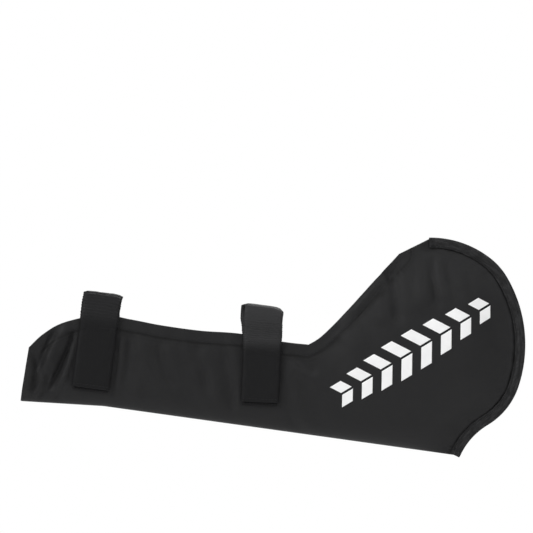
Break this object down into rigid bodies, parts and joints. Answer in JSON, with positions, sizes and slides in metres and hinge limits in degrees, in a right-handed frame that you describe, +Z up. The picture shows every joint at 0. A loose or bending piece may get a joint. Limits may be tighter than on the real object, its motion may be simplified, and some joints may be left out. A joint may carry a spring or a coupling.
{
  "type": "bicycle drivetrain cover",
  "caption": "Dark coated-cloth pouch that covers the chainset and lower chain of a bicycle, with a taped rim and hook-and-loop straps.",
  "frame": {"origin": "on the crank axis, in the chain line between the two panels", "axes": "+X towards the front wheel, +Z up, -Y outwards on the drive side, as the cover is worn"},
  "size_m": [0.5007, 0.0476, 0.2186],
  "materials": {
    "coated_cloth": "coated polyester plain weave, matt, dark charcoal",
    "binding_tape": "ribbed folded binding tape",
    "strap_webbing": "strap tape, ribbed where it bends",
    "hook_tape": "hook side of hook and loop tape",
    "loop_pile": "loop side of hook and loop tape",
    "sewing_thread": "twisted polyester sewing thread",
    "reflective_film": "pale heat-set film"
  },
  "bodies": {
    "root": {"cover_shell": "coated_cloth", "rim_binding": "binding_tape", "rear_strap": "strap_webbing", "front_strap": "strap_webbing", "rear_hook_tape": "hook_tape", "front_hook_tape": "hook_tape", "rear_loop_patch": "loop_pile", "front_loop_patch": "loop_pile", "rim_stitching": "sewing_thread", "hem_stitching": "sewing_thread", "rear_strap_stitching": "sewing_thread", "front_strap_stitching": "sewing_thread", "rear_patch_stitching": "sewing_thread", "front_patch_stitching": "sewing_thread", "bar_tacks": "sewing_thread", "reflective_print": "reflective_film"}
  },
  "joints": []
}
